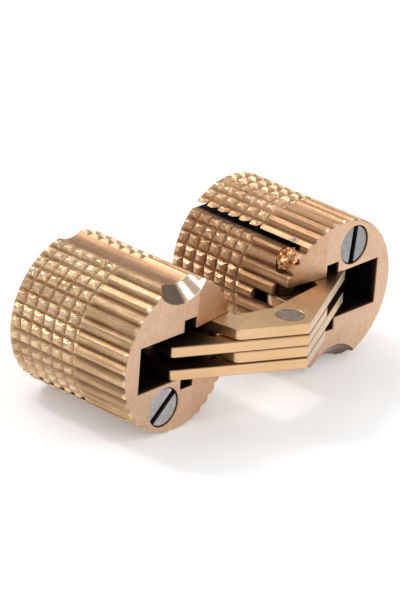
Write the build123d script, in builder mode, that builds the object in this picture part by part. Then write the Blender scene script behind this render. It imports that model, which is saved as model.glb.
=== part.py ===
"""Concealed barrel hinge: two knurled brass barrels that sink into drilled holes in a door
and its frame, joined by two crossing links of stacked plates that fold away inside them.

Modelled open flat, at 180 degrees, in millimetres. X runs from barrel to barrel, Y into
the wood along the barrels, Z along the pins. The origin is under the middle of the hinge,
on the surface that the barrels lie on.
"""
from build123d import *
from math import atan2, cos, hypot, pi, radians, sin, sqrt, tan
import os

# Barrels
barrel_diameter = 14.0
barrel_length = 13.7
barrel_gap = 6.6            # between the two barrels, hinge open flat
rim_chamfer = 0.15          # on the front and back rims

# Knurling: ribs along the whole barrel, crossed by rings at the back that leave studs
rib_count = 36
first_rib_angle = 6.0       # where the ribs happen to start, up from the X axis
rib_depth = 0.34
rib_groove_width = 0.76     # across the top of the groove between two ribs
groove_runout = 0.45        # the grooves between the ribs rise to each rim over this length
ring_count = 6
ring_pitch = 1.27
ring_groove_width = 0.8
last_ring_setback = 0.97    # from the back face

# Pocket milled into the front face for the links, and its openings towards the other barrel
far_wall = 1.85             # between the pocket's closed end and the barrel's side
pivot_wall = 3.0            # between the pocket and the side that faces the other barrel
front_opening_depth = 2.0   # full-height opening in that wall, behind the front face
window_depth = 4.2          # slots in that wall for the eyes of the short arms
relief_width = 5.1          # sloping facet on the front face, in from the rim
relief_depth = 0.6          # its depth at the rim

# Screw channel down one side, for a wood screw between barrel and wood
channel_offset = 1.95       # from the barrel's side out to the screw's axis
channel_radius = 2.6
countersink_radius = 3.9
countersink_slope = 45.0

# Clamping screw, and the saw slit that it spreads
screw_x = -1.67             # from the barrel's axis, away from the other barrel
screw_pocket_wall = 0.3     # metal left between the screw's hole and the pocket
screw_outer_wall = 0.15     # metal left between the screw's hole and the knurling
screw_recess = 0.1          # the screw's head lies this far behind the front face
screw_body_length = 3.1
screw_tip_length = 1.3
screw_tip_radius = 0.6
screw_bevel = 0.1
screw_slot_width = 0.62
screw_slot_depth = 0.7
left_slot_angle = 41.0      # how far each screw's slot happens to be turned
right_slot_angle = 84.0
slit_offset = 0.85          # from the screw's axis out to the slit's middle
slit_width = 0.6
slit_start = 1.2            # solid metal left between front face and slit

# Links: four plates, the first and third in one link, the second and fourth in the other
plate_thickness = 1.04
plate_gap = 0.045
pivot_inset = 1.7           # pivot pin, in from the barrel's side
pivot_depth = 1.9           # pivot pin, behind the front face
track_inset = 5.95          # line that the sliding pin follows, in from the barrel's side
centre_forward = 3.25       # centre pin, in front of the front faces, hinge open flat
eye_radius = 1.4            # short arm's round end, on the pivot pin
tip_radius = 1.0            # long arm's round end, on the sliding pin
nose_forward = 2.35         # from the centre pin to the links' front corner
fork_back = 1.95            # from the centre pin back to the corner between the arms
front_slope = 27.0          # of the links' front edges, in degrees
shoulder_reach = 0.9        # short arm's front corner, past the pivot pin
elbow_reach = 1.35          # short arm's back corner, short of the pivot pin
elbow_back = 1.05           # short arm's back corner, behind the fork
heel_reach = 1.0            # long arm's front corner, past the barrel's axis
hook_reach = 3.5            # start of the long arm's hook, short of the barrel's axis
hook_back = 0.8             # start of the long arm's hook, behind the fork
shoulder_fillet = 0.6
heel_fillet = 0.4

# Pins
centre_pin_radius = 1.25
pivot_pin_radius = 0.85
pivot_pin_cover = 0.16      # metal left over the middle of the pivot pin's blind end
pivot_pin_recess = 0.25     # its peened end lies this far below the ribs' crests
track_pin_radius = 0.7

# Clearances
running_clearance = 0.04    # round a pin in a plate that turns on it
side_clearance = 0.05       # above and below the stack of plates
window_clearance = 0.03     # above and below a plate in its window
track_clearance = 0.09      # each side of a sliding pin in its track
screw_clearance = 0.05      # round the clamping screw
tip_clearance = 0.12        # behind the long arm's tip when the hinge is closed
track_step = 1.09           # how far the track is cut above and below the pocket
pin_end_clearance = 0.12    # at the ends of a sliding pin in its track
overshoot = 1.0             # how far a cut runs past the metal that it leaves

# Derived places
barrel_radius = barrel_diameter / 2
root_radius = barrel_radius - rib_depth
axis_spacing = barrel_diameter + barrel_gap
half_spacing = axis_spacing / 2
axis_height = barrel_radius
rib_angle = 360 / rib_count
pocket_left = barrel_radius - far_wall
pocket_right = barrel_radius - pivot_wall
relief_start = barrel_radius - relief_width
channel_axis = barrel_radius + channel_offset
pivot_x = barrel_radius - pivot_inset
track_x = barrel_radius - track_inset
pivot_pin_top = sqrt(root_radius**2 - pivot_x**2) - pivot_pin_cover
plate_pitch = plate_thickness + plate_gap
stack_half_height = 1.5 * plate_pitch + plate_thickness / 2
pocket_half_height = stack_half_height + side_clearance
track_half_height = pocket_half_height + track_step
track_width = 2 * (track_pin_radius + track_clearance)
plate_levels = [plate_pitch * step for step in (1.5, 0.5, -0.5, -1.5)]
nose_y = -centre_forward - nose_forward
fork_y = -centre_forward + fork_back
face_y = -(barrel_length + nose_y) / 2

# The screw's hole is the largest that fits between the pocket and the knurling
hole_inner = pocket_half_height + screw_pocket_wall
hole_outer = root_radius - screw_outer_wall
hole_radius = (hole_outer**2 - hole_inner**2 - screw_x**2) / (2 * (hole_outer + hole_inner))
screw_radius = hole_radius - screw_clearance
screw_z = -hole_inner - hole_radius
slit_height = screw_z - slit_offset
screw_point = screw_recess + screw_body_length + screw_tip_length


def closing_depths():
    """Depth of the sliding pin, hinge open flat and hinge closed, and the closed centre.

    Both links turn on a pivot pin and cross at the centre pin. Open, the centre pin is
    midway between the barrels. Closed, it lies in the plane where the two faces meet.
    Each arm, and the distance from end to end of a link, is the same in both places.
    """
    short_arm = hypot(half_spacing - pivot_x, centre_forward + pivot_depth)
    closed_centre = pivot_x - sqrt(short_arm**2 - pivot_depth**2)
    reach = centre_forward + pivot_depth
    share = pivot_depth / reach
    open_spans = (axis_spacing - pivot_x - track_x) ** 2 - (half_spacing - track_x) ** 2
    closed_spans = (pivot_x - track_x) ** 2 - (closed_centre - track_x) ** 2
    offset = (open_spans - closed_spans - centre_forward**2) / (2 * reach)
    a = 1 - share**2
    b = share * (centre_forward + offset)
    c = (closed_centre - track_x) ** 2 - (half_spacing - track_x) ** 2
    c -= (centre_forward + offset) ** 2
    closed_depth = (sqrt(b**2 - a * c) - b) / a
    return offset - share * closed_depth, closed_depth, closed_centre


open_depth, closed_depth, closed_centre = closing_depths()
pocket_depth = closed_depth + tip_radius + tip_clearance


def swung(point, centre, angle):
    """A point swung clockwise, seen from above, about a centre by an angle in radians."""
    x = point[0] - centre[0]
    y = point[1] - centre[1]
    return (
        centre[0] + x * cos(angle) + y * sin(angle),
        centre[1] - x * sin(angle) + y * cos(angle),
    )


def track_drift():
    """How far a fold at one even ratio carries the sliding pin off its straight line."""
    pivot = (pivot_x, pivot_depth)
    centre = (half_spacing, -centre_forward)
    open_direction = atan2(centre[1] - pivot_depth, centre[0] - pivot_x)
    closed_direction = atan2(-pivot_depth, closed_centre - pivot_x)
    short_arm_swing = open_direction - closed_direction
    long_arm_swing = pi - short_arm_swing
    steps = 24
    furthest = 0.0
    for step in range(steps + 1):
        moved_centre = swung(centre, pivot, short_arm_swing * step / steps)
        tip = (
            moved_centre[0] + track_x - centre[0],
            moved_centre[1] + open_depth - centre[1],
        )
        tip = swung(tip, moved_centre, long_arm_swing * step / steps)
        furthest = max(furthest, track_x - tip[0])
    return furthest


def across(depth):
    """Plane across a barrel at a depth behind its front face: X right, Z up."""
    return Plane.XZ.offset(-depth)


def around(start_angle):
    """Planes through a barrel's axis, one for each rib: X outwards, Y along the barrel."""
    return [Plane.XY.rotated((0, -start_angle - rib_angle * rib, 0)) for rib in range(rib_count)]


def plan(height):
    """Plane seen from above, at a height from the barrels' axes, Y = 0 on the front faces."""
    return Plane((0, face_y, axis_height + height))


# Barrel in its own frame: axis along Y, front face at Y = 0, the other barrel towards +X.
# It is turned and knurled first, then milled, drilled and sawn.
with BuildPart() as barrel:
    with BuildSketch(across(0)):
        # One flat for each rib's crest, narrow enough to look round
        groove_angle = first_rib_angle + rib_angle / 2
        RegularPolygon(barrel_radius, rib_count, major_radius=False, rotation=groove_angle)
        flank = rib_groove_width / 2 * (1 + overshoot / rib_depth)
        with PolarLocations(barrel_radius, rib_count, start_angle=groove_angle):
            Polygon((-rib_depth, 0), (overshoot, -flank), (overshoot, flank), mode=Mode.SUBTRACT)
    extrude(amount=-barrel_length)

    # Both ends of each groove rise to the rim, which stays unbroken
    with BuildSketch(*around(groove_angle)):
        rim_radius = barrel_radius - rim_chamfer
        for rim, inward in ((0, 1), (barrel_length, -1)):
            Polygon(
                (root_radius - overshoot, rim),
                (rim_radius, rim),
                (root_radius, rim + inward * groove_runout),
                (root_radius - overshoot, rim + inward * groove_runout),
            )
    extrude(amount=rib_groove_width / 3, both=True)

    # Rings that cut the ribs into studs, and a chamfer on both rims, straight across each rib
    with BuildSketch(*around(first_rib_angle)):
        last_ring = barrel_length - last_ring_setback
        flank = ring_groove_width / 2 * (1 + overshoot / rib_depth)
        with Locations(*[(barrel_radius, last_ring - ring_pitch * ring) for ring in range(ring_count)]):
            Polygon((-rib_depth, 0), (overshoot, -flank), (overshoot, flank))
        corner = rim_chamfer + 2 * overshoot
        with Locations((barrel_radius + overshoot, -overshoot)):
            Polygon((0, 0), (0, corner), (-corner, 0))
        with Locations((barrel_radius + overshoot, barrel_length + overshoot)):
            Polygon((0, 0), (-corner, 0), (0, -corner))
    extrude(amount=barrel_radius * tan(pi / rib_count), both=True, mode=Mode.SUBTRACT)

    # Pocket, with the full-height opening beside it at the face
    with BuildSketch(across(0)):
        with Locations(((pocket_right - pocket_left) / 2, 0)):
            Rectangle(pocket_left + pocket_right, 2 * pocket_half_height)
    extrude(amount=-pocket_depth, mode=Mode.SUBTRACT)
    with BuildSketch(across(0)):
        with Locations((pocket_right, 0)):
            Rectangle(barrel_radius, 2 * pocket_half_height, align=(Align.MIN, Align.CENTER))
    extrude(amount=-front_opening_depth, mode=Mode.SUBTRACT)

    # Windows at the two levels where the short arms' eyes turn
    for level in (plate_levels[0], plate_levels[2]):
        with BuildSketch(Plane.XY.offset(level)):
            with Locations((pocket_right - overshoot, 0)):
                Rectangle(barrel_radius, window_depth, align=Align.MIN)
        extrude(amount=plate_thickness / 2 + window_clearance, both=True, mode=Mode.SUBTRACT)

    # Track for the sliding pin, above and below the pocket, widened behind the open place
    with BuildSketch(Plane.XY):
        with Locations((track_x, 0)):
            Rectangle(track_width, pocket_depth, align=(Align.CENTER, Align.MIN))
        with Locations((track_x + track_width / 2, open_depth - track_width / 2)):
            Rectangle(
                track_width + track_drift(),
                pocket_depth - open_depth + track_width / 2,
                align=(Align.MAX, Align.MIN),
            )
    extrude(amount=track_half_height, both=True, mode=Mode.SUBTRACT)

    # Sloping facet on the face beside the pocket, which clears the other barrel's rim
    with BuildSketch(Plane.XY):
        rim_slope = relief_depth / (barrel_radius - relief_start)
        Polygon(
            (relief_start, 0),
            (relief_start, -overshoot),
            (barrel_radius + overshoot, -overshoot),
            (barrel_radius + overshoot, relief_depth + rim_slope * overshoot),
        )
    extrude(amount=barrel_radius + overshoot, both=True, mode=Mode.SUBTRACT)

    # Screw channel along the whole barrel, and its countersink at the face
    with BuildSketch(Plane.YZ):
        countersink_depth = (countersink_radius - channel_radius) / tan(radians(countersink_slope))
        with Locations((0, channel_axis)):
            Polygon(
                (-overshoot, 0),
                (-overshoot, -countersink_radius),
                (0, -countersink_radius),
                (countersink_depth, -channel_radius),
                (barrel_length + overshoot, -channel_radius),
                (barrel_length + overshoot, 0),
            )
    revolve(axis=Axis((0, 0, channel_axis), (0, 1, 0)), mode=Mode.SUBTRACT)

    # Tapered hole for the clamping screw
    with BuildSketch(Plane.XY.offset(screw_z)):
        with Locations((screw_x, 0)):
            Polygon(
                (0, 0),
                (hole_radius, 0),
                (hole_radius, screw_recess + screw_body_length),
                (screw_tip_radius + screw_clearance, screw_point),
                (screw_tip_radius + screw_clearance, barrel_length),
                (0, barrel_length),
            )
    revolve(axis=Axis((screw_x, 0, screw_z), (0, 1, 0)), mode=Mode.SUBTRACT)

    # Saw slit from the back, which leaves a tongue that the clamping screw spreads
    with BuildSketch(Plane.XY.offset(slit_height)):
        with Locations((0, slit_start)):
            Rectangle(2 * barrel_diameter, barrel_length, align=(Align.CENTER, Align.MIN))
    extrude(amount=slit_width / 2, both=True, mode=Mode.SUBTRACT)

    # Blind hole for the pivot pin
    with BuildSketch(Plane.XY.offset(-barrel_radius)):
        with Locations((pivot_x, pivot_depth)):
            Circle(pivot_pin_radius)
    extrude(amount=barrel_radius + pivot_pin_top, mode=Mode.SUBTRACT)

# Pivot pin in the barrel's own frame, its peened end following the barrel's round side
with BuildPart() as pivot_pin:
    with BuildSketch(Plane.XY.offset(-barrel_radius)):
        with Locations((pivot_x, pivot_depth)):
            Circle(pivot_pin_radius)
    extrude(amount=barrel_radius + pivot_pin_top)
    with BuildSketch(across(0)):
        Circle(barrel_radius - pivot_pin_recess)
    extrude(amount=-barrel_length, mode=Mode.INTERSECT)


def clamping_screw(slot_angle):
    """Slotted grub screw with a taper point, in the barrel's own frame."""
    with BuildPart() as screw:
        with BuildSketch(Plane.XY.offset(screw_z)):
            with Locations((screw_x, 0)):
                Polygon(
                    (0, screw_recess),
                    (screw_radius - screw_bevel, screw_recess),
                    (screw_radius, screw_recess + screw_bevel),
                    (screw_radius, screw_recess + screw_body_length),
                    (screw_tip_radius, screw_point),
                    (0, screw_point),
                )
        revolve(axis=Axis((screw_x, 0, screw_z), (0, 1, 0)))
        with BuildSketch(across(screw_recess)):
            with Locations((screw_x, screw_z)):
                Rectangle(3 * screw_radius, screw_slot_width, rotation=slot_angle)
        extrude(amount=-screw_slot_depth, mode=Mode.SUBTRACT)
    return screw


def on_front(x):
    """The point at x on the links' two front edges, which slope back from the nose."""
    return (x, nose_y + abs(x) * tan(radians(front_slope)))


# Outline of the link that turns in the left barrel, seen from above. Its short arm ends in
# the eye on the left pivot pin; its long arm hooks round the right barrel's pivot pin.
nose = (0, nose_y)
fork = (0, fork_y)
eye = (pivot_x - half_spacing, pivot_depth)
tip = (half_spacing - track_x, open_depth)
shoulder = on_front(eye[0] - shoulder_reach)
elbow = (eye[0] + elbow_reach, fork_y + elbow_back)
heel = on_front(half_spacing + heel_reach)
hook = (half_spacing - hook_reach, fork_y + hook_back)

with BuildSketch() as short_arm:
    with BuildLine():
        CenterArc(eye, eye_radius, 0, 360)
        Line(shoulder, elbow)
    make_hull()

with BuildSketch() as hooked_end:
    with BuildLine():
        CenterArc(tip, tip_radius, 0, 360)
        Line(hook, heel)
    make_hull()

with BuildSketch() as link_outline:
    add(short_arm.sketch)
    add(hooked_end.sketch)
    Polygon(nose, heel, hook, fork, elbow, shoulder)
    fillet(link_outline.vertices().sort_by_distance(shoulder)[0], shoulder_fillet)
    fillet(link_outline.vertices().sort_by_distance(heel)[0], heel_fillet)


def link_plate(level, outline, holes):
    """A link plate punched from sheet, at one level of the stack, with (place, radius) holes."""
    with BuildPart() as plate:
        with BuildSketch(plan(plate_levels[level] - plate_thickness / 2)):
            add(outline)
            for place, radius in holes:
                with Locations(place):
                    Circle(radius, mode=Mode.SUBTRACT)
        extrude(amount=plate_thickness)
    return plate


def straight_pin(place, radius, half_length):
    """A plain pin across the stack, ground flat at both ends."""
    with BuildPart() as pin:
        with BuildSketch(plan(-half_length)):
            with Locations(place):
                Circle(radius)
        extrude(amount=2 * half_length)
    return pin


def in_barrel(piece, side):
    """A piece from the barrel's own frame, set in the left (-1) or the right (+1) barrel."""
    half_turn = 0 if side < 0 else 180
    with BuildPart() as placed:
        with Locations(Location((side * half_spacing, face_y, axis_height), (0, half_turn, 0))):
            add(piece.part)
    return placed


def link(outline, side, levels):
    """A link's two plates: it turns in the barrel on its own side and slides in the other."""
    eye_hole = ((side * (half_spacing - pivot_x), pivot_depth), pivot_pin_radius + running_clearance)
    tip_hole = ((side * (track_x - half_spacing), open_depth), track_pin_radius)
    # The centre pin is riveted in the left link and turns in the right one
    centre_clearance = 0 if side < 0 else running_clearance
    centre_hole = ((0, -centre_forward), centre_pin_radius + centre_clearance)
    return [link_plate(level, outline, (eye_hole, tip_hole, centre_hole)) for level in levels]


left_outline = link_outline.sketch
right_outline = mirror(left_outline, about=Plane.YZ)
left_link_upper, left_link_lower = link(left_outline, -1, (0, 2))
right_link_upper, right_link_lower = link(right_outline, 1, (1, 3))

centre_pin = straight_pin((0, -centre_forward), centre_pin_radius, stack_half_height)
track_pin_half_length = track_half_height - pin_end_clearance
left_track_pin = straight_pin(
    (track_x - half_spacing, open_depth), track_pin_radius, track_pin_half_length
)
right_track_pin = straight_pin(
    (half_spacing - track_x, open_depth), track_pin_radius, track_pin_half_length
)

pieces = {
    "left_barrel": in_barrel(barrel, -1),
    "right_barrel": in_barrel(barrel, 1),
    "left_pivot_pin": in_barrel(pivot_pin, -1),
    "right_pivot_pin": in_barrel(pivot_pin, 1),
    "left_clamp_screw": in_barrel(clamping_screw(left_slot_angle), -1),
    "right_clamp_screw": in_barrel(clamping_screw(right_slot_angle), 1),
    "left_link_upper": left_link_upper,
    "left_link_lower": left_link_lower,
    "right_link_upper": right_link_upper,
    "right_link_lower": right_link_lower,
    "centre_pin": centre_pin,
    "left_track_pin": left_track_pin,
    "right_track_pin": right_track_pin,
}

os.makedirs("parts", exist_ok=True)
for name, piece in pieces.items():
    piece.part.label = name
    export_step(piece.part, f"parts/{name}.step")
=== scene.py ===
"""The looks of the concealed barrel hinge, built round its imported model, in metres."""
from math import degrees, pi, radians

import bpy
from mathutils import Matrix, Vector


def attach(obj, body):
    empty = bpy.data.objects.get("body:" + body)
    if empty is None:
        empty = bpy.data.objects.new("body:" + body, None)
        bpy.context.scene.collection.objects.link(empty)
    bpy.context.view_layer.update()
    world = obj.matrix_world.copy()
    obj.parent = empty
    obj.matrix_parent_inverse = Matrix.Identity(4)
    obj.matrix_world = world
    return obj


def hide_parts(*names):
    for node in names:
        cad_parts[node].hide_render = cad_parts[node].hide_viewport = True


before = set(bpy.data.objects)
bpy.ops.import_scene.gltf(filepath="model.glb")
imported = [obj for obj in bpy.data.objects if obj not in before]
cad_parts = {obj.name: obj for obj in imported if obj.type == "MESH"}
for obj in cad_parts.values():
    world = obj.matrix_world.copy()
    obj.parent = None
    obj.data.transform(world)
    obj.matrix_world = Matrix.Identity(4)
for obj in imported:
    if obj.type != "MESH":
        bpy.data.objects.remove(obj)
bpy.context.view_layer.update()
bpy.ops.object.select_all(action="DESELECT")


# The two barrels: turned from brass bar, ribbed and ringed by a knurling wheel, then milled,
# drilled and sawn. The ribs' crests are rubbed bright, the grooves between them are stained
# brown, the milled front is a dull pinkish tan, and the pocket behind it is painted black as
# shade.
mm = 0.001
half_spacing = 10.3 * mm            # from the middle of the hinge to each barrel's axis
barrel_face = -4.05 * mm
barrel_axis_height = 7 * mm


class Shade:
    """A socket among a material's nodes. Python's operators on it add Math nodes."""

    def __init__(self, tree, socket=None):
        self.tree = tree
        self.socket = socket

    def add(self, kind, settings=(), inputs=(), output=0):
        """Adds a node of any kind: first its settings, then its sockets' values or links."""
        node = self.tree.nodes.new(kind)
        for name, value in dict(settings).items():
            if name == "stops":
                ramp = node.color_ramp
                while len(ramp.elements) < len(value):
                    ramp.elements.new(1)
                for element, (position, colour) in zip(ramp.elements, value):
                    element.position = position
                    element.color = (*colour, 1)
            else:
                setattr(node, name, value)
        for name, value in dict(inputs).items():
            if isinstance(value, Shade):
                self.tree.links.new(value.socket, node.inputs[name])
            else:
                node.inputs[name].default_value = value
        return Shade(self.tree, node.outputs[output]) if node.outputs else None

    def maths(self, operation, *values):
        return self.add("ShaderNodeMath", {"operation": operation}, dict(enumerate(values)))

    def __add__(self, other):
        return self.maths("ADD", self, other)

    __radd__ = __add__

    def __sub__(self, other):
        return self.maths("SUBTRACT", self, other)

    def __rsub__(self, other):
        return self.maths("SUBTRACT", other, self)

    def __mul__(self, other):
        return self.maths("MULTIPLY", self, other)

    __rmul__ = __mul__

    def __truediv__(self, other):
        return self.maths("DIVIDE", self, other)

    def __pow__(self, other):
        return self.maths("POWER", self, other)

    def __abs__(self):
        return self.maths("ABSOLUTE", self)

    def rounded(self):
        return self.maths("ROUND", self)

    def at_least(self, other):
        return self.maths("MAXIMUM", self, other)

    def between(self, low, high):
        """0 up to the first value, 1 from the second on, and smooth from one to the other."""
        sockets = {"Value": self, "From Min": low, "From Max": high}
        return self.add("ShaderNodeMapRange", {"interpolation_type": "SMOOTHSTEP"}, sockets)

    def stretched(self, factors):
        """This vector with each of its numbers multiplied."""
        return self.add("ShaderNodeVectorMath", {"operation": "MULTIPLY"}, {0: self, 1: factors})

    def noise(self, scale, detail=3, roughness=0.5):
        """Noise at a number of waves for each unit of this vector."""
        sockets = {"Vector": self, "Scale": scale, "Detail": detail, "Roughness": roughness}
        return self.add("ShaderNodeTexNoise", {}, sockets)

    def chance(self):
        """One random number for each whole value of this vector."""
        return self.add("ShaderNodeTexWhiteNoise", {}, {"Vector": self})

    def ramp(self, *stops):
        return self.add("ShaderNodeValToRGB", {"stops": stops}, {"Fac": self})

    def tint(self, share, colour):
        """This colour, mixed with another by a share."""
        first, second, mixed = 6, 7, 2      # the places of the node's sockets for colours
        other = colour if isinstance(colour, Shade) else (*colour, 1)
        sockets = {0: share, first: self, second: other}
        return self.add("ShaderNodeMix", {"data_type": "RGBA"}, sockets, mixed)

    def parts(self):
        """The three numbers of this vector."""
        node = self.add("ShaderNodeSeparateXYZ", {}, {0: self}).socket.node
        return [Shade(self.tree, output) for output in node.outputs]

    def joined(self, x, y, z):
        """A vector of three numbers."""
        return self.add("ShaderNodeCombineXYZ", {}, {0: x, 1: y, 2: z})

    def bump(self, height, distance):
        sockets = {"Height": height, "Distance": distance, "Strength": 1.0}
        return self.add("ShaderNodeBump", {}, sockets)


def new_finish(name):
    """A material, and a Shade that adds nodes to its empty node tree."""
    material = bpy.data.materials.new(name)
    material.use_nodes = True
    material.node_tree.nodes.clear()
    return material, Shade(material.node_tree)


def end_finish(nodes, **sockets):
    """Adds the surface shader, whose sockets have short names here, and the output."""
    names = {"colour": "Base Color", "metal": "Metallic", "roughness": "Roughness",
             "normal": "Normal", "glow": "Emission Color", "glow_strength": "Emission Strength"}
    inputs = {names[name]: value for name, value in sockets.items()}
    shader = nodes.add("ShaderNodeBsdfPrincipled", {}, inputs)
    nodes.add("ShaderNodeOutputMaterial", {}, {"Surface": shader})


def own_place(nodes, side):
    """Millimetres from the middle of the front face of the left (-1) or right (+1) barrel.

    The right barrel is the left one turned half round, and so are its coordinates."""
    place = nodes.add("ShaderNodeTexCoord", {}, {}, "Object")
    turn = 0 if side < 0 else pi
    centre = (side * half_spacing, barrel_face, barrel_axis_height)
    return nodes.add("ShaderNodeMapping", {"vector_type": "TEXTURE"}, {
        "Vector": place, "Location": centre, "Rotation": (0, turn, 0), "Scale": (mm, mm, mm)})


def barrel_brass(side):
    """Knurled brass, milled and drilled. All its lengths are in millimetres."""
    material, nodes = new_finish("left_barrel_brass" if side < 0 else "right_barrel_brass")
    own = own_place(nodes, side)
    x, y, z = own.parts()

    # The ribbed outside, from 0 to 1 at each place: a rib's crest, a groove, the studs
    root_radius, crest_radius = 6.66, 6.98
    studs_start = 5.75
    radius = (x * x + z * z) ** 0.5
    crest = radius.between(root_radius + 0.04, crest_radius)
    groove = 1 - radius.between(root_radius + 0.02, root_radius + 0.14)
    studs = y.between(studs_start, studs_start + 0.25)

    # The faces, and how far a point lies behind the front one, which ends in a sloping facet
    facet_start, facet_slope = 1.9, 0.1176
    rear_face = 13.64
    behind = y - (x - facet_start).at_least(0) * facet_slope
    back = y.between(rear_face, rear_face + 0.04)
    face = 1 - behind.between(0.03, 0.07) + back
    facet = x.between(facet_start, facet_start + 0.15) * (1 - back)

    # The screw channel and its countersink, and the pocket inside the barrel
    channel_axis, channel_radius, countersink_radius = 8.95, 2.6, 3.9
    pocket_radius, pocket_wall = 6.3, 4.0
    from_channel = (x * x + (z - channel_axis) * (z - channel_axis)) ** 0.5
    channel = 1 - from_channel.between(channel_radius + 0.03, channel_radius + 0.08)
    cone = 1 - (from_channel + y).between(countersink_radius + 0.04, countersink_radius + 0.09)
    outside = (1 - face) * (1 - cone) * (1 - channel)
    inside = 1 - radius.between(pocket_radius, pocket_radius + 0.3)
    inside = inside * from_channel.between(pocket_wall, pocket_wall + 0.1)
    inside = inside * (1 - back) * behind.between(0.06, 0.3)

    # The nearest rib and ring: a random number for each rib and stud, and the studs' peaks
    first_rib_angle, rib_angle = 6, 10
    last_ring, ring_pitch = 12.73, 1.27
    peak_reach = 0.2                    # as a share of the way from one stud to the next
    rib = (nodes.maths("ARCTAN2", z, x) * degrees(1) - first_rib_angle) / rib_angle
    ring = (last_ring - y) / ring_pitch + 0.5
    near_rib, near_ring = rib.rounded(), ring.rounded()
    rib_chance = nodes.joined(near_rib, side, 0).chance()
    stud_chance = nodes.joined(near_rib, near_ring, side).chance()
    from_peak = abs(rib - near_rib).at_least(abs(ring - near_ring))
    peak = (1 - from_peak / peak_reach).at_least(0)

    # The marks of making and wear
    # A painted highlight: pale glints on the crests at the ribs' front ends
    painted_rim_glint = (1 - behind.between(0.25, 0.5)) * crest * own.noise(1.4, 1).between(0.46, 0.62)
    streaks = own.stretched((1, 0.07, 1)).noise(2.6, 4, 0.68)
    scores = own.stretched((1, 0.04, 1)).noise(5, 3, 0.65)
    blotches = own.noise(0.33, 2)
    grain = own.noise(7, 4, 0.62)
    milling = own.stretched((0.6, 5, 0.6)).noise(1.2, 3, 0.6) * 0.35 + scores * 0.65
    turning = nodes.joined(radius, 0, 0).noise(6, 3, 0.6)

    # Brown in the grooves, tan on the ribs, and a painted highlight at the ribs' ends by the rim
    # Painted shade on the side towards the other barrel
    shaded_side = x.between(2, 6.5)
    tone = crest * 0.14 + streaks * 0.34 + blotches * 0.2 + grain * 0.3 + rib_chance * 0.06
    tone = tone + scores * 0.4 + studs * 0.1 - shaded_side * 0.06 + 0.03
    green, blue = (1.11, 1.19) if side < 0 else (1.01, 1.04)     # the left one is yellower
    colour = tone.ramp((0.60, (0.30, 0.145 * green, 0.065 * blue)),
                       (0.84, (0.62, 0.36 * green, 0.185 * blue)),
                       (1.0, (0.90, 0.61 * green, 0.37 * blue)))
    colour = colour.tint(groove * (0.36 - studs * 0.2), (0.20, 0.095, 0.04))
    colour = colour.tint(painted_rim_glint * 0.65, (1.0, 0.78, 0.54))

    # Pinkish tan on the faces: specked in front, ringed at the back, with a painted brown
    # reflection on the facet
    face_tone = blotches * 0.3 + grain * 0.4 + own.noise(2.2, 3) * 0.3
    face_tone = face_tone + (turning - 0.5) * back * 0.4
    face_colour = face_tone.ramp((0.36, (0.56, 0.36, 0.235)), (0.47, (0.69, 0.458, 0.308)),
                                 (0.60, (0.77, 0.525, 0.362)))
    specks = own.noise(4.5, 2).between(0.62, 0.7) * (1 - back)
    face_colour = face_colour.tint(specks * 0.35, (0.32, 0.17, 0.09))
    # A painted reflection: brown on the facet, stronger towards its outer edge
    painted_facet_reflection = facet * (x.between(2.5, 6.5) * 0.35 + 0.3) * blotches.between(0.2, 0.6)
    face_colour = face_colour.tint(painted_facet_reflection, (0.50, 0.25, 0.10))
    colour = colour.tint(face, face_colour)
    channel_colour = milling.ramp((0.35, (0.38, 0.21, 0.11)), (0.65, (0.62, 0.375, 0.22)))
    colour = colour.tint(channel, channel_colour)

    # Half of each countersink is darkened by a painted shade, and the right one's brass is
    # duller
    colour = colour.tint(cone, (0.78, 0.60, 0.44) if side < 0 else (0.46, 0.30, 0.22))
    painted_shade_half = 1 - x.between(-0.1, 0.3)
    colour = colour.tint(cone * painted_shade_half * 0.85, (0.12, 0.08, 0.055))
    # Painted shade in the pocket, darker the deeper it lies behind the face
    painted_pocket_shade = behind.between(-0.1, 0.8).ramp(
        (0.0, (0.12, 0.055, 0.03)), (1.0, (0.014, 0.008, 0.007)))
    colour = colour.tint(inside, painted_pocket_shade)

    gloss = studs * (0.09 + stud_chance * 0.12) + painted_rim_glint * 0.2
    roughness = (0.34 + streaks * 0.3 - gloss) * outside
    roughness = roughness + (face + channel) * (0.34 + grain * 0.12)
    roughness = roughness + cone * 0.12 + inside * 0.3

    dents = own.noise(1.3, 2, 0.5) * 0.05 + stud_chance * own.noise(2.5, 1) * 0.03
    peaks = own.noise(2.8, 2, 0.6) * 0.08 + peak * (0.035 + stud_chance * 0.035)
    heights = (dents + peaks * studs) * outside + grain * 0.004 * (1 - cone)
    heights = heights + milling * channel * 0.03 + turning * back * 0.03

    if side > 0:
        # The right barrel has a small pit beside its slit: a pale grey raised ring, and a hollow
        # darkened by a painted shade
        pit_x, pit_y, pit_z = 4.1, 2.15, -5.62
        to_pit = ((x - pit_x) ** 2 + (y - pit_y) ** 2 + (z - pit_z) ** 2) ** 0.5
        colour = colour.tint((1 - to_pit.between(0.3, 0.4)) * 0.9, (0.62, 0.56, 0.49))
        # Painted shade in the pit's hollow
        colour = colour.tint((1 - to_pit.between(0.1, 0.24)) * 0.75, (0.20, 0.15, 0.11))
        pit_edge = (1 - to_pit.between(0.28, 0.4)) * to_pit.between(0.1, 0.25)
        heights = heights + pit_edge * 0.1

    # The stain between the ribs is dull, and the rest is bare metal
    metal = 1 - outside * (1 - inside) * (0.3 - crest * 0.25)
    end_finish(nodes, colour=colour, metal=metal, roughness=roughness,
               normal=nodes.bump(heights, mm))
    return material


for name, side in (("left_barrel", -1), ("right_barrel", 1)):
    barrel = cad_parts[name]
    barrel.data.materials.clear()
    barrel.data.materials.append(barrel_brass(side))
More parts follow.
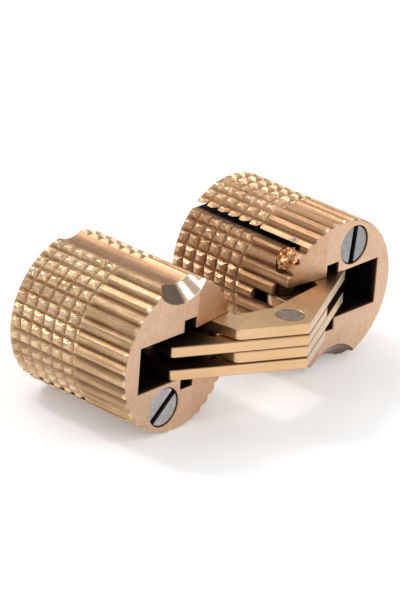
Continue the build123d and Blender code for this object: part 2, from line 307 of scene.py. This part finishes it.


# The link plates: punched from yellower brass sheet, four in the stack, with rounded edges
# and a fine grain along the sheet. Painted shade lies in the seams between them, and a painted
# shadow from the pockets on the flats of the long arms.
def plate_brass():
    material, nodes = new_finish("plate_brass")
    place = nodes.add("ShaderNodeTexCoord", {}, {}, "Object")
    rightwards, backwards, upwards = nodes.add("ShaderNodeTexCoord", {}, {}, "Normal").parts()
    x, _, z = place.parts()
    top = abs(upwards).between(0.6, 0.95)
    right_front = rightwards.between(0.3, 0.42) * (1 - backwards.between(-0.7, -0.5))

    # The seams lie at whole numbers of plates from the middle of the stack
    plate_pitch = 1.085 * mm
    above = (z - barrel_axis_height) / plate_pitch
    near_seam = above.rounded()
    level = abs(near_seam)
    painted_seam_shade = (1 - abs(above - near_seam).between(0.05, 0.15)) * (1 - top)
    painted_seam_shade = painted_seam_shade * (1 - level.between(1.2, 1.8)) * (0.35 + level * 0.65)

    grain = place.stretched((1, 3, 1)).noise(900, 3, 0.6)
    broad = place.noise(260, 3)
    speck = place.noise(3800, 3, 0.6)
    edge_grain = place.stretched((0.15, 0.15, 3)).noise(900, 3, 0.6)
    shear_marks = place.stretched((1, 1, 0.12)).noise(5000, 3, 0.6) * 0.5 + edge_grain * 0.5

    colour = (edge_grain * 0.5 + broad * 0.5).ramp(
        (0.3, (0.70, 0.44, 0.235)), (0.7, (0.84, 0.555, 0.32)))
    # Shear marks on the edges facing the right front, painted paler there as a sheen
    shear_and_sheen = shear_marks.ramp((0.35, (0.54, 0.40, 0.28)), (0.62, (0.84, 0.70, 0.51)))
    colour = colour.tint(right_front * 0.7, shear_and_sheen)
    top_colour = (grain * 0.35 + broad * 0.35 + speck * 0.3).ramp(
        (0.3, (0.66, 0.44, 0.235)), (0.7, (0.90, 0.635, 0.38)))
    # Painted shadow on the flats of the long arms, where the barrels' pockets shade them
    painted_pocket_shadow = abs(x).between(5.2 * mm, 8.5 * mm) * (0.6 + broad * 0.4)
    top_colour = top_colour.tint(painted_pocket_shadow, (0.05, 0.028, 0.016))
    colour = colour.tint(top, top_colour)
    # Painted shade in the seams between the plates, darker between the outer ones
    colour = colour.tint(painted_seam_shade, (0.16, 0.07, 0.03))
    end_finish(nodes, colour=colour, metal=1.0, roughness=0.26 + grain * 0.14 + top * 0.06,
               normal=nodes.bump(grain * top * 0.4 + speck * 0.6, 0.012 * mm))
    return material


def dressed_copy(node_name, piece_name, edge_width, segments):
    """A copy of a solid's mesh, merged, with its edges worn round as the real ones are."""
    merge_distance = 0.0005 * mm
    flat_angle, sharp_angle = radians(0.5), radians(30)
    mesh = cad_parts[node_name].data.copy()
    piece = bpy.data.objects.new(piece_name, mesh)
    bpy.context.collection.objects.link(piece)
    bpy.ops.object.select_all(action="DESELECT")
    piece.select_set(True)
    bpy.context.view_layer.objects.active = piece
    bpy.ops.mesh.customdata_custom_splitnormals_clear()
    bpy.ops.object.mode_set(mode="EDIT")
    bpy.ops.mesh.select_all(action="SELECT")
    bpy.ops.mesh.remove_doubles(threshold=merge_distance)
    bpy.ops.mesh.dissolve_limited(angle_limit=flat_angle)
    bpy.ops.object.mode_set(mode="OBJECT")
    worn = piece.modifiers.new("worn_edges", "BEVEL")
    worn.width = edge_width
    worn.segments = segments
    worn.limit_method = "ANGLE"
    worn.angle_limit = sharp_angle
    worn.use_clamp_overlap = False
    bpy.ops.object.modifier_apply(modifier="worn_edges")
    bpy.ops.object.shade_smooth_by_angle(angle=sharp_angle)
    flats = piece.modifiers.new("flat_faces", "WEIGHTED_NORMAL")
    flats.keep_sharp = True
    bpy.ops.object.modifier_apply(modifier="flat_faces")
    mesh.materials.clear()
    return piece


sheet_brass = plate_brass()
plate_edge = 0.1 * mm
for name, body in (("left_link_upper", "left_link"), ("right_link_upper", "right_link"),
                   ("left_link_lower", "left_link"), ("right_link_lower", "right_link")):
    plate = dressed_copy(name, name + "_plate", plate_edge, 3)
    plate.data.materials.append(sheet_brass)
    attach(plate, body)
    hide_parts(name)


# The clamping screws: slotted grub screws of blue-grey steel, flush in the front faces,
# with a worn edge and a painted shade in the slot. The right one is painted darker as shade.
def screw_finish(side):
    material, nodes = new_finish("left_screw_steel" if side < 0 else "right_screw_steel")
    own = own_place(nodes, side)
    depth = own.parts()[1]
    slot = depth.between(0.18, 0.4)
    mottle = own.noise(1.8, 4, 0.6)
    scratches = own.stretched((1, 1, 0.4)).noise(5, 3, 0.6)
    # The right screw is painted darker as shade
    shade = 1 if side < 0 else 0.66
    dark, light = [tuple(shade * part for part in grey) for grey in
                   ((0.36, 0.35, 0.355), (0.60, 0.585, 0.60))]
    colour = (mottle * 0.75 + scratches * 0.25).ramp((0.3, dark), (0.7, light))
    # Painted shade in the slot
    colour = colour.tint(slot, (0.022, 0.02, 0.02))
    end_finish(nodes, colour=colour, metal=1.0, roughness=0.3 + mottle * 0.15 + slot * 0.3,
               normal=nodes.bump(mottle * 0.5 + scratches * 0.5, 0.02 * mm))
    return material


screw_edge = 0.05 * mm
for name, side in (("left_clamp_screw", -1), ("right_clamp_screw", 1)):
    screw = dressed_copy(name, name + "_slotted", screw_edge, 2)
    screw.data.materials.append(screw_finish(side))
    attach(screw, name)
    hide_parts(name)


# The centre pin and the two sliding pins: ground steel, the centre pin's end flush with the
# top plate and mottled by the riveting.
def ground_steel():
    material, nodes = new_finish("pin_steel")
    place = nodes.add("ShaderNodeTexCoord", {}, {}, "Object")
    mottle = place.noise(1500, 4, 0.65)
    speck = place.noise(5200, 3, 0.6)
    colour = (mottle * 0.6 + speck * 0.4).ramp(
        (0.35, (0.26, 0.21, 0.18)), (0.65, (0.47, 0.40, 0.35)))
    end_finish(nodes, colour=colour, metal=1.0, roughness=0.34 + mottle * 0.2,
               normal=nodes.bump(mottle * 0.5 + speck * 0.5, 0.03 * mm))
    return material


pin_steel = ground_steel()
for name in ("centre_pin", "left_track_pin", "right_track_pin"):
    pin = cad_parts[name]
    pin.data.materials.clear()
    pin.data.materials.append(pin_steel)


# The pivot pins: brass rods driven into blind holes in the barrels, painted near black as
# shade inside, each end peened over into a rough coppery lump among the ribs.
def peened_brass():
    material, nodes = new_finish("peened_brass")
    place = nodes.add("ShaderNodeTexCoord", {}, {}, "Object")
    dents = place.noise(1100, 2, 0.5)
    broad = place.noise(900, 2)
    colour = (dents * 0.6 + broad * 0.4).ramp(
        (0.36, (0.26, 0.075, 0.025)), (0.5, (0.56, 0.23, 0.085)), (0.64, (0.95, 0.62, 0.37)))
    end_finish(nodes, colour=colour, metal=1.0, roughness=0.16 + broad * 0.2,
               normal=nodes.bump(dents, 0.15 * mm))
    return material


def drawn_brass():
    material, nodes = new_finish("drawn_brass")
    place = nodes.add("ShaderNodeTexCoord", {}, {}, "Object")
    # The rods are painted near black as shade inside the barrels
    painted_shade_mottle = place.noise(900, 3)
    colour = painted_shade_mottle.ramp((0.3, (0.03, 0.016, 0.01)), (0.7, (0.10, 0.055, 0.03)))
    end_finish(nodes, colour=colour, metal=1.0, roughness=0.35 + painted_shade_mottle * 0.2)
    return material


copper = peened_brass()
rod_brass = drawn_brass()
lump_radius = 1.05 * mm
lump_shape = (0.9, 1.05, 0.42)      # along, across and out of the barrel
lump_place = Vector((5.3 * mm, 1.72 * mm, -4.35 * mm))      # from the left front face's middle
for name, body, side in (("left_pivot_pin", "left_barrel", -1),
                         ("right_pivot_pin", "right_barrel", 1)):
    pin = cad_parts[name]
    pin.data.materials.clear()
    pin.data.materials.append(rod_brass)
    # Turned half round with the right barrel
    own_x, own_z = -side * lump_place.x, -side * lump_place.z
    bpy.ops.object.select_all(action="DESELECT")
    bpy.ops.mesh.primitive_ico_sphere_add(subdivisions=5, radius=lump_radius, location=(0, 0, 0))
    lump = bpy.context.object
    lump.name = name + "_peened_end"
    bpy.ops.object.mode_set(mode="EDIT")
    bpy.ops.mesh.select_all(action="SELECT")
    bpy.ops.transform.resize(value=lump_shape)
    bpy.ops.object.mode_set(mode="OBJECT")
    outwards = Vector((own_x, 0, own_z)).normalized()
    lump.rotation_euler = outwards.to_track_quat("Z", "Y").to_euler()
    lump.location = (side * half_spacing + own_x, barrel_face + lump_place.y,
                     barrel_axis_height + own_z)
    bpy.ops.object.transform_apply(location=True, rotation=True, scale=True)
    hammer = bpy.data.textures.new(name + "_hammer_marks", "CLOUDS")
    hammer.noise_scale = 0.55 * mm
    hammer.noise_depth = 3
    dent = lump.modifiers.new("hammer_marks", "DISPLACE")
    dent.texture = hammer
    dent.texture_coords = "LOCAL"
    dent.strength = 0.5 * mm
    bpy.ops.object.modifier_apply(modifier="hammer_marks")
    bpy.ops.object.shade_smooth_by_angle(angle=radians(35))
    lump.data.materials.append(copper)
    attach(lump, body)


# The floor: a plain pale sheet. It glows a little to the camera and in the brass, so that the
# metal has a pale studio to mirror, and it keeps the hinge's shadow.
floor_grey = 0.92
floor_glow = 0.24
bpy.ops.object.select_all(action="DESELECT")
bpy.ops.mesh.primitive_plane_add(size=4, location=(0, 0, 0))
floor = bpy.context.object
floor.name = "floor"
floor_paper, nodes = new_finish("floor_paper")
seen = nodes.add("ShaderNodeLightPath", {}, {}, "Is Camera Ray")
for ray in ("Is Glossy Ray", "Is Transmission Ray"):
    seen = seen.at_least(nodes.add("ShaderNodeLightPath", {}, {}, ray))
glow = (seen * floor_glow).ramp((0, (0, 0, 0)), (1, (1, 1, 1)))
end_finish(nodes, colour=(floor_grey, floor_grey, floor_grey, 1), roughness=0.9, glow=glow,
           glow_strength=1.0)
floor.data.materials.append(floor_paper)


# The light: a large soft lamp above and behind, smaller ones that catch the knurling and the
# countersink, and a plain pale world.
lamp_distance = 0.6
world_strength = 0.6
aim = Vector((0, 0, barrel_axis_height))
for name, direction, size, power in (
    ("back_softbox", (0.05, 0.60, 0.80), 0.40, 0.7),
    ("stud_lamp", (-0.17, 0.60, 0.79), 0.08, 0.6),
    ("front_lamp", (-0.20, -0.76, 0.60), 0.16, 0.4),
    ("right_lamp", (0.40, -0.57, 0.72), 0.12, 0.3),
):
    towards = Vector(direction).normalized()
    turn = towards.to_track_quat("Z", "Y").to_euler()
    bpy.ops.object.light_add(type="AREA", location=aim + towards * lamp_distance, rotation=turn)
    lamp = bpy.context.object
    lamp.name = name
    lamp.data.size = size
    lamp.data.energy = power

world = bpy.data.worlds.new("studio_grey")
bpy.context.scene.world = world
world.use_nodes = True
world.node_tree.nodes.clear()
nodes = Shade(world.node_tree)
background = nodes.add("ShaderNodeBackground", {}, {"Color": (1, 1, 1, 1),
                                                    "Strength": world_strength})
nodes.add("ShaderNodeOutputWorld", {}, {"Surface": background})


# The camera: a long lens from the left in front, a little above the hinge, placed so that the
# barrels and plates stand in the frame as in the picture that the part was made from.
bpy.ops.object.camera_add(
    location=(-0.30411, -0.259494, 0.186983),
    rotation=(radians(65.788), radians(-3.991), radians(-47.396)),
)
camera = bpy.context.object
camera.data.lens = 300.18
camera.data.sensor_width = 36
camera.data.clip_start = 0.01
bpy.context.scene.camera = camera
bpy.context.scene.view_settings.view_transform = "Standard"
